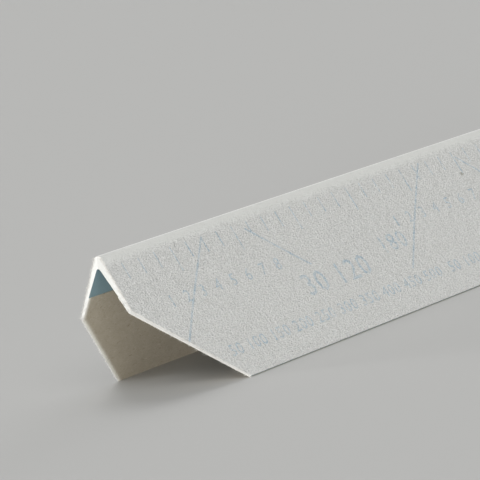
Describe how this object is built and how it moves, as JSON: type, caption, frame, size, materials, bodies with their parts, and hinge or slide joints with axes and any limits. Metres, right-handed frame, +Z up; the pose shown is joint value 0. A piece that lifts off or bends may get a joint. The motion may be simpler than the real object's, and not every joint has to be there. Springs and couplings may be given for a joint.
{
  "type": "corner bead",
  "caption": "Paper-faced composite corner bead: a folded angle strip with a thick blunt nose, two flat legs and clipped end corners.",
  "frame": {"origin": "middle of the bead's length and width, on the floor that its two leg edges stand on", "axes": "+X along the bead, +Y across it, +Z up through the nose"},
  "size_m": [2.438, 0.0476, 0.0391],
  "materials": {
    "face_paper": "matte, slightly fibrous, with pale blue printed marks",
    "plastic_core": "smooth slate-blue plastic",
    "backing_paper": "matte tan-grey paper with sparse fibres"
  },
  "bodies": {
    "root": {"face_paper": "face_paper", "plastic_core": "plastic_core", "backing_paper_front": "backing_paper", "backing_paper_back": "backing_paper"}
  },
  "joints": []
}
